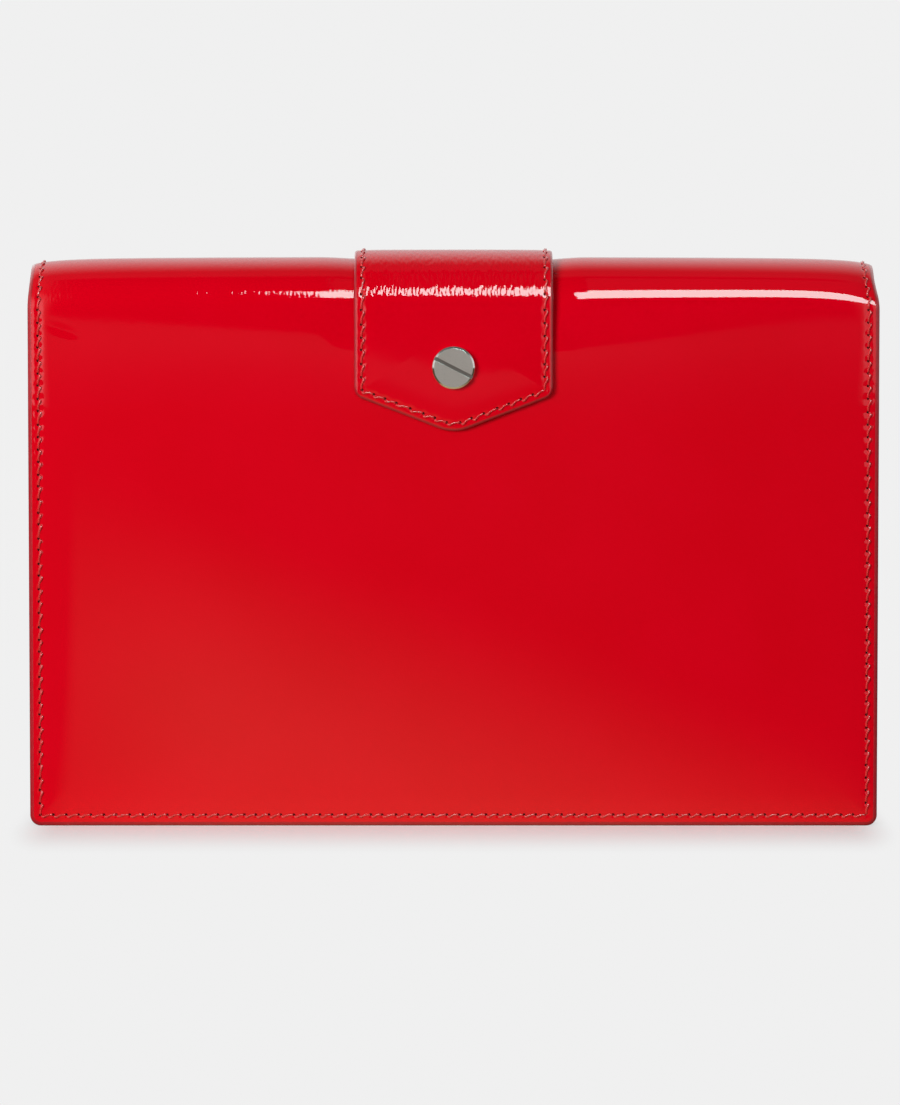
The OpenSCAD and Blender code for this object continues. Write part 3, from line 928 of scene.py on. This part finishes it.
# Smoother, lighter copy of the nickel for the screw head's rim: the lower roughness is real polish, the
# lighter colour a painted highlight
POLISH_AND_HIGHLIGHT = metal("nickel_polish_and_highlight", (0.80, 0.77, 0.74), 0.12)
MAGNET = metal("magnet_steel", (0.20, 0.20, 0.21), 0.45)


# ---- The body: leather, boards, linings ----


def body_cols(fine, coarse, inset):
    return columns(HALF_W - inset, CORNER_R - inset, fine, coarse)


def body_corners(cols, inset):
    return inset + round_corner(cols, HALF_W - inset, CORNER_R - inset)


def take_over(pieces, kind, first, last):
    """The four pieces of a long sheet stand for its parts on the back, on the three slats and on the flap."""
    groups = [[first], [f"fold_1_{kind}"], [f"fold_2_{kind}"], [f"fold_3_{kind}", last]]
    for piece, nodes in zip(pieces, groups):
        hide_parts(*nodes)


def settle(obj, body, node):
    """A rigid piece rides on a body and stands for a modelled node."""
    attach(obj, body)
    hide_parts(node)


def body_leather():
    cols = body_cols(FINE, COARSE, RIM)
    corners = body_corners(cols, RIM)
    rows = long_stations(RIM, FLAP_END - RIM, FINE, COARSE)
    ends = corners, FLAP_END - corners
    made = sheet_zones("leather", cols, rows, *ends, body_face, 0, LEATHER, [PATENT, EDGE, LINING])
    take_over(made, "leather", "back_panel", "flap_panel")


def lining_top(x, s):
    """Over the fold there is no board, so the lining fills its place."""
    past = np.minimum(s - FOLD_Z, FLAP_START - s)
    return LEATHER + BOARD * (1 - smooth((past + 1 * MM) / (2 * MM)))


def body_lining():
    cols = body_cols(1.5 * MM, 3 * MM, THIN_RIM)
    corners = body_corners(cols, THIN_RIM)
    rows = long_stations(THIN_RIM, FLAP_END - THIN_RIM, 1.5 * MM, 2 * MM)
    ends, looks = (corners, FLAP_END - corners), [BOARD_STUFF, EDGE, LINING]
    made = sheet_zones("lining", cols, rows, *ends, place_body, lining_top, WALL, looks, rim=THIN_RIM)
    take_over(made, "lining", "back_lining", "flap_lining")


def board(name, place, s0, s1, rounded, body, node):
    """Stiff board between a leather and its lining; rounded says which ends have the outline's corners."""
    cols = body_cols(1.5 * MM, 6 * MM, THIN_RIM)
    start, end = (body_corners(cols, THIN_RIM) if r else np.full(cols.shape, THIN_RIM) for r in rounded)
    X, S = layout(cols, spread(s0 + THIN_RIM, s1 - THIN_RIM, 3 * MM), s0 + start, s1 - end)
    looks = [BOARD_STUFF, EDGE, BOARD_STUFF]
    settle(sheet(name, X, S, place, LEATHER, LEATHER + BOARD, looks, rim=THIN_RIM), body, node)


def front_sheet(name, node, slot, rim, fine, coarse, place, top, bottom, looks):
    """Front panel leather or lining, with rounded bottom corners and a straight top edge."""
    cols = body_cols(fine, coarse, rim)
    a, b, band = rim, FRONT_LEN - rim, 6 * MM
    middle = spread(a + band, b - band, coarse)[1:-1]
    rows = np.concatenate([spread(a, a + band, fine), middle, spread(b - band, b, fine)])
    X, S = layout(cols, rows, body_corners(cols, rim), None)
    settle(sheet(name, X, S, place, top, bottom, looks, rim=rim), "front", node)


def front():
    leather = front_face, 0, LEATHER, [PATENT, EDGE, LINING]
    front_sheet("front_leather", "front_panel", "patent_leather", RIM, FINE, COARSE, *leather)
    lining = place_front, LEATHER + BOARD, WALL, [BOARD_STUFF, EDGE, LINING]
    front_sheet("front_suede", "front_lining", "lining", THIN_RIM, 1.5 * MM, 3 * MM, *lining)
    board("front_stiffener", place_front, 0, FRONT_LEN, (True, False), "front", "front_board")


def strap_layer(name, rim, fine, place, outer, inner, upper):
    cols = columns(STRAP_HALF - rim, SHOULDER_R - rim, fine, 1.25 * fine)
    point = strap_point(cols, rim)
    rows = long_stations(TAB_TIP, STRAP_TIP, fine, 1.25 * fine)
    ends, depths = (TAB_TIP + point, STRAP_TIP - point), (FOLD_R - outer, FOLD_R - inner)
    looks = [upper, EDGE, STRAP_SUEDE]
    return sheet_zones(name, cols, rows, *ends, place, *depths, looks, band=26 * MM, rim=rim)


def strap():
    """Closing strap: leather and lining, pointed at both ends, over the fold."""
    made = strap_layer("strap", STRAP_RIM, FINE, strap_face, STRAP_OUT, STRAP_MID, STRAP_PATENT)
    take_over(made, "strap", "tab_back", "strap_front")
    made = strap_layer("strap_suede", THIN_RIM, 1.2 * MM, place_body, STRAP_MID, STRAP_IN, STRAP_SUEDE)
    take_over(made, "strap_lining", "tab_back_lining", "strap_front_lining")


def gusset():
    """One strip of leather round both sides and the bottom, folded inwards between the panels."""
    flange, top, thick, tuck, foot = 6 * MM, GUSSET_TOP, 1 * MM, 10 * MM, 9 * MM
    back = BACK_Y + WALL + thick / 2

    def meet(z):
        """Where the strip lies on the front panel's lining."""
        return SEAM_Y + z * tan(LEAN) - (WALL + thick / 2) / COS_LEAN

    w = np.linspace(-1, 1, 33)
    fold = 1 - (np.sqrt(w**2 + 0.02) - sqrt(0.02)) / (sqrt(1.02) - sqrt(0.02))
    edge = np.linspace(0, 1, 9)[:-1]
    inward = np.concatenate([edge, np.ones(len(w)), edge[::-1]])
    fold = np.pad(fold, len(edge))
    across = np.pad(w, len(edge), constant_values=(-1, 1))

    def strip(z):
        """Across the strip, its distance inwards from the outline and the radius of its corner."""
        deep = tuck * (meet(z) - back) / (meet(top) - back)
        e = 0.6 * MM + (flange - 0.6 * MM) * inward + deep * fold
        return e, 3 * MM + 0.3 * e

    lines = []
    for t in np.linspace(0, 1, 60):
        e, r = strip(top + (14 * MM - top) * t)
        lines.append((e - HALF_W, top + (e + r - top) * t))
    e, r = strip(foot)
    for a in np.linspace(0, pi / 2, 10)[1:-1]:
        lines.append((e + r - r * cos(a) - HALF_W, e + r - r * sin(a)))
    for t in np.linspace(0, 1, 50):
        lines.append(((e + r - HALF_W) * (1 - t), e))
    lines += [(-x, z) for x, z in lines[-2::-1]]
    x, z = (np.array(part) for part in zip(*lines))
    y = (back + meet(z)) / 2 + across * (meet(z) - back) / 2
    points = np.stack([x, y, z], axis=-1)
    for _ in range(3):
        points[:, 1:-1] = 0.5 * points[:, 1:-1] + 0.25 * (points[:, :-2] + points[:, 2:])
    rows, cols = points.shape[:2]
    length = np.cumsum(np.linalg.norm(np.diff(points[:, 0], axis=0, prepend=points[:1, 0]), axis=-1))
    wander = np.sin(length / (9 * MM)) * np.sin(length / (23 * MM) + 1)
    points[:, :, 0] += np.sign(-x) * 0.25 * MM * wander[:, None] * fold
    reach = np.linspace(0, 40 * MM, cols)
    uvs = np.stack(np.broadcast_arrays(reach, length[:, None]), axis=-1).reshape(-1, 2) * UV_SCALE
    faces = grid_quads(rows, cols, flip=True)
    obj = make_object("gusset", points.reshape(-1, 3), faces, [GUSSET_LEATHER, EDGE], uvs=uvs)
    solid = obj.modifiers.new("thickness", "SOLIDIFY")
    solid.thickness = thick - 0.04 * MM
    solid.offset = 0
    solid.use_even_offset = True
    solid.material_offset_rim = 1
    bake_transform(obj)
    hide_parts("gusset_back_leaf", "gusset_front_leaf")


def slip_pocket():
    half, foot, top = POCKET_HALF - THIN_RIM, POCKET_FOOT + THIN_RIM, POCKET_FOOT + POCKET_H - THIN_RIM
    X, S = np.meshgrid(spread(-half, half, 1 * MM), spread(foot, top, 1 * MM))

    def outer(x, z):
        hem = smooth((z - (top - 8 * MM)) / (0.8 * MM))
        return POCKET_DIP * (1 - hem) + dimples(POCKET_ROWS, x, z, 0.12 * MM)

    def inner(x, z):
        inside = np.minimum(POCKET_HALF - np.abs(x), z - POCKET_FOOT)
        return 1.15 * MM - 0.4 * MM * smooth((inside - 2 * MM) / (3 * MM))

    obj = sheet("pocket", X, S, place_pocket, outer, inner, [LINING, EDGE, LINING], rim=THIN_RIM)
    settle(obj, "back", "slip_pocket")


def long_seam(name, rows, seam, face, rise, first, last):
    """A seam over the fold in four pieces; the first and last stand for modelled nodes."""
    bounds = [-1, *SPLITS, 1]
    for k, node in enumerate((first, None, None, last)):
        obj = stitches(f"{name}_{k + 1}", rows, seam, face, rise, bounds[k], bounds[k + 1])
        bend(obj)
        if node:
            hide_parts(node)


def all_thread():
    def on_pocket(x, z, depth):
        return place_pocket(x, z, depth + POCKET_DIP)

    rise = STRAP_OUT - FOLD_R
    long_seam("seam", BODY_ROWS, body_seam, body_face, 0, "back_thread", "flap_thread")
    long_seam("strap_seam", STRAP_ROWS, strap_seam, strap_face, rise, "tab_thread", "strap_thread")
    settle(stitches("front_seam", FRONT_ROWS, front_seam, front_face), "front", "front_thread")
    settle(stitches("pocket_seam", POCKET_ROWS, on_pocket, on_pocket), "back", "pocket_thread")


# ---- Hardware ----


def on_leaning(out, run):
    """Point and outward direction on the leaning flap or front, run below the fold axis."""
    y = FOLD_Y + out * COS_LEAN - run * SIN_LEAN
    z = FOLD_Z - out * SIN_LEAN - run * COS_LEAN
    return Vector((0, y, z)), Vector((0, COS_LEAN, -SIN_LEAN))


def post_screw(origin, normal, body, screw_node, post_node):
    """Slotted screw head on the strap, and the flange of its post inside the wall."""
    matrix = facing(origin, normal)
    head = [(0, 2.0, 0), (5.5, 2.0, 0.03), (6.0, 1.5, 0.03), (6.0, 0, 0.1)]
    head += [(2, 0, 0), (2, -3.5, 0), (0, -3.5, 0)]
    screw = turned(screw_node + "_head", head, matrix, [NICKEL, POLISH_AND_HIGHLIGHT, SLOT_SHADE])
    cut_slot(screw, matrix, 1.0 * MM, 1.0 * MM, 2.0 * MM, -SLOT_ANGLE)
    axis = matrix.to_3x3().col[2]
    # Rim faces take the nickel with the painted highlight; faces below the top, in the slot, under the head
    # and on the shank, take the nickel with painted shade
    for face in screw.data.polygons:
        out = face.center - origin
        height = out.dot(axis)
        on_rim = (out - axis * height).length > 5.45 * MM
        face.material_index = 1 if on_rim else 2 * (height < 1.8 * MM)
    settle(screw, body, screw_node)
    foot = STRAP_OUT - FOLD_R + WALL
    flange = [(0, 0.22, 0), (3.6, 0.20, 0.8), (5.0, 0.02, 0.1), (5.0, -0.6, 0), (2.75, -0.6, 0)]
    flange += [(2.75, -3.6, 0), (0, -3.6, 0)]
    post = turned(post_node + "_flange", flange, facing(origin - normal * foot, -normal), [NICKEL])
    settle(post, body, post_node)


def magnetic_snap():
    """Stud under the strap's tip and the magnet case on the front panel."""
    case = [(0, 0.3, 0), (3.55, 0.3, 0.1), (3.6, 1.45, 0.12), (4.2, 1.5, 0.2), (6.7, 1.45, 0.35)]
    case += [(7.0, 0.9, 0.3), (7.0, 0, 0.1), (0, 0, 0)]
    stud = [(0, 3.0, 0), (2.5, 3.0, 0.4), (3.0, 2.4, 0.3), (2.8, 1.75, 0.2), (3.4, 1.6, 0.2)]
    stud += [(6.6, 1.55, 0.3), (7.0, 1.0, 0.3), (7.0, 0, 0.1), (0, 0, 0)]
    point, normal = on_leaning(FOLD_R - 0.4 * MM - WALL, SNAP_DROP)
    socket = turned("snap_socket_case", case, facing(point, normal), [NICKEL])
    settle(socket, "front", "snap_socket")
    point, normal = on_leaning(STRAP_IN, SNAP_DROP)
    settle(turned("snap_stud_pin", stud, facing(point, -normal), [NICKEL]), "flap", "snap_stud")


def hidden_plates():
    """Washer plates and the ring magnet keep the model's own shape, with broken edges."""
    looks = {"snap_magnet": MAGNET, "snap_socket_plate": NICKEL, "snap_stud_plate": NICKEL}
    for name, material in looks.items():
        node = bpy.data.objects[name]
        node.data.materials.clear()
        node.data.materials.append(material)
        bevel = node.modifiers.new("edges", "BEVEL")
        bevel.width = 0.05 * MM
        bevel.limit_method = "ANGLE"


# ---- Stage, light and camera ----

PALE = 0.871
FLOOR_HALF = 4.0
FLOOR_LIT = 0.75
FLOOR_LIGHT = 0.55
FLOOR_SHADE = 0.062
EYE_AWAY = 1.3
EYE_RISE = radians(3.5)
CARD_Y = -1.0
CARD_TINT = (0.62, 1, 1)


def bare_tree(owner):
    owner.use_nodes = True
    owner.node_tree.nodes.clear()
    return owner.node_tree


def end_tree(shader, kind):
    set_inputs(shader.tree.nodes.new("ShaderNodeOutput" + kind), {"Surface": shader})


def ray(tree, kind):
    """1 for rays of one kind, 0 for the rest."""
    return add(tree, "LightPath", out=f"Is {kind} Ray")


def by_ray(tree, plain, mirrored, direct):
    """A value that differs for light, for reflections and for the camera."""
    shown = add(tree, "Mix", {0: ray(tree, "Glossy"), 2: plain, 3: mirrored})
    return add(tree, "Mix", {0: ray(tree, "Camera"), 2: shown, 3: direct})


def card(name, corners):
    """A single face with a bare material of its own."""
    obj = make_object(name, corners, [[0, 1, 2, 3]], [bpy.data.materials.new(name)])
    return obj, bare_tree(obj.data.materials[0])


def emitter(name, left, right, bottom, top, strength, colour=(1, 1, 1), left_bottom=None, left_top=None):
    """Upright card in front that shows only in reflections; its left edge may be shorter than its right."""
    ends = ((left, left_bottom or bottom), (right, bottom), (right, top), (left, left_top or top))
    obj, tree = card(name, [(x, CARD_Y, z) for x, z in ends])
    end_tree(add(tree, "Emission", {"Color": (*colour, 1), "Strength": strength}), "Material")
    obj.visible_camera = obj.visible_diffuse = obj.visible_shadow = obj.visible_transmission = False


def floor():
    """Pale floor that glows evenly to the camera. Only close to the purse does it take light and so a soft
    shadow, and there its glow also carries a painted shadow. In reflections it shows a painted reflection,
    brighter near the purse and on the left, as a floor with its light on that side is. To light the purse it
    glows a little, less close to it."""
    size = FLOOR_HALF
    tree = card("floor", [(-size, -size, 0), (size, -size, 0), (size, size, 0), (-size, size, 0)])[1]
    x, y, _ = axes(add(tree, "TexCoord", out=3))
    ahead = maths("MAXIMUM", maths("ABSOLUTE", y) - -BACK_Y, 0.0)
    beside = maths("MAXIMUM", maths("ABSOLUTE", x) - (HALF_W - 9 * MM), 0.0) * 4.5
    away = maths("SQRT", maths("POWER", ahead, 2.0) + maths("POWER", beside, 2.0))
    near = ramp(away, 0.0, FLOOR_SHADE, 1.0, 0.0)
    lit = near * FLOOR_LIT
    # The last term is a painted shadow: the glow the camera sees is taken down close to the purse
    glow = PALE - near * (FLOOR_LIT * FLOOR_LIGHT) - ramp(away, 0.0, 0.068, 0.20, 0.0)
    diffuse = add(tree, "BsdfDiffuse", {"Color": add(tree, "CombineColor", {0: lit, 1: lit, 2: lit})})
    # Painted reflection: what reflections of the floor show, a lower band brighter on the left, an upper band
    # and a glow just in front of the purse, tinted warm
    spread_out = 1.0 + ahead / EYE_AWAY
    height = ahead * (0.157 / EYE_AWAY) / spread_out
    along = x / spread_out
    lower = ramp(height + along * 0.37, 0.0, 0.070, 0.38, 0.0) * ramp(along, -0.125, -0.060, 0.4, 1.0)
    lower = lower * ramp(along, -0.119, -0.108, 0.0, 1.0)
    upper = ramp(height, 0.110, 0.150, 0.035, 0.13) * ramp(along, 0.02, 0.09, 1.0, 0.6)
    mirrored = lower + upper + ramp(ahead, 0.02, 0.07, 0.05, 0.0)
    shown = by_ray(tree, 0.11 - near * 0.11, mirrored, glow)
    warm = mix_colour(ray(tree, "Glossy"), (1, 1, 1), (1.0, 0.98, 0.55))
    emission = add(tree, "Emission", {"Color": warm, "Strength": shown})
    dim = add(tree, "MixShader", {0: ray(tree, "Glossy"), 1: diffuse})
    end_tree(add(tree, "AddShader", {0: dim, 1: emission}), "Material")


def surroundings():
    """A pale room to the camera. In reflections: dark ahead, pale walls at the sides, bright behind."""
    world = bpy.data.worlds.new("room")
    bpy.context.scene.world = world
    tree = bare_tree(world)
    dx, dy, dz = axes(add(tree, "TexCoord"))
    left = ramp(dx, -0.27, -0.12, 1.6, 0.0) * ramp(dx, -0.95, -0.75, 0.5, 1.0)
    right = ramp(dx, 0.12, 0.27, 0.0, 0.8)
    walls = (left + right) * ramp(maths("ABSOLUTE", dz), 0.30, 0.80, 1.0, 0.1)
    behind = ramp(dy, 0.04, 0.64, 0.12, 1.45) * ramp(dy, -0.25, -0.12, 0.0, 1.0)
    behind = behind * ramp(dy, 0.70, 1.0, 1.0, 0.65)
    below = ramp(dz, -0.032, -0.010, 0.045, 0.13) * ramp(dz, -0.003, 0.001, 1.0, 0.0)
    below = below * ramp(dx, 0.01, 0.07, 1.0, 0.6)
    mirrored = maths("MAXIMUM", maths("MAXIMUM", walls, behind), below)
    shown = by_ray(tree, 0.22, mirrored, PALE)
    end_tree(add(tree, "Background", {"Color": (1, 1, 1, 1), "Strength": shown}), "World")


def link(obj, place, target):
    """Puts a light or the camera in the scene, aimed at target."""
    obj.location = place
    obj.rotation_euler = (Vector(target) - obj.location).to_track_quat("-Z", "Y").to_euler()
    bpy.context.scene.collection.objects.link(obj)


def soft_light(name, place, target, size, power):
    data = bpy.data.lights.new(name, "AREA")
    data.shape = "RECTANGLE"
    data.size, data.size_y = size
    data.energy = power
    light = bpy.data.objects.new(name, data)
    light.visible_glossy = False
    light.visible_camera = False
    link(light, place, target)
    return light


def skip_floor(light):
    """The light reaches the purse and not the floor, where only the key draws a shadow."""
    unlit = bpy.data.collections.new("unlit")
    unlit.objects.link(bpy.data.objects["floor"])
    unlit.collection_objects[0].light_linking.link_state = "EXCLUDE"
    light.light_linking.receiver_collection = unlit


def lights():
    soft_light("key", (-0.85, -1.15, 0.42), (0, 0, 0.95), (0.7, 0.7), 21.3)
    soft_light("fill", (0.5, -1.9, 0.35), (0, 0, 0.7), (1.2, 1.0), 8.0)
    soft_light("top", (0.0, 0.25, 1.5), (0, 0, 0.08), (1.4, 1.4), 0.3)
    soft_light("back", (0.2, 1.8, 0.9), (0, 0, 0.08), (1.6, 1.0), 1.5)
    skip_floor(soft_light("flap_side", (0.5, 1.5, 0.5), (0, 0, 0.5), (1.2, 0.9), 20.0))
    skip_floor(soft_light("right_end", (1.5, 0.15, 0.45), (0, 0, 0.3), (0.9, 0.9), 5.0))
    emitter("strip", 0.050, 0.750, 0.685, 1.155, 14.5, CARD_TINT)
    emitter("strip_middle", -0.045, 0.050, 0.660, 1.025, 14.5, CARD_TINT)
    emitter("strip_end", -0.084, -0.045, 0.76, 1.07, 13.0, CARD_TINT, 0.88, 1.02)
    emitter("haze", 0.055, 1.5, 1.17, 3.7, 0.075)


def camera():
    """Square on to the back, a little above its middle."""
    data = bpy.data.cameras.new("camera")
    data.lens = 150
    data.sensor_width = 36
    data.clip_end = 20
    eye = bpy.data.objects.new("camera", data)
    target = Vector((-1.0 * MM, BACK_Y, 77.6 * MM))
    link(eye, target + EYE_AWAY * Vector((0, -cos(EYE_RISE), sin(EYE_RISE))), target)
    bpy.context.scene.camera = eye
    bpy.context.scene.view_settings.view_transform = "Standard"


body_leather()
body_lining()
board("back_stiffener", place_body, 0, FOLD_Z, (True, False), "back", "back_board")
board("flap_stiffener", place_body, FLAP_START, FLAP_END, (False, True), "flap", "flap_board")
front()
strap()
gusset()
slip_pocket()
all_thread()
back_screw = Vector((0, low("tab_back").y, (low("tab_screw").z + high("tab_screw").z) / 2))
post_screw(back_screw, Vector((0, -1, 0)), "back", "tab_screw", "tab_screw_post")
post_screw(*on_leaning(STRAP_OUT, FRONT_SCREW_DROP), "flap", "strap_screw", "strap_screw_post")
magnetic_snap()
hidden_plates()
floor()
surroundings()
lights()
camera()
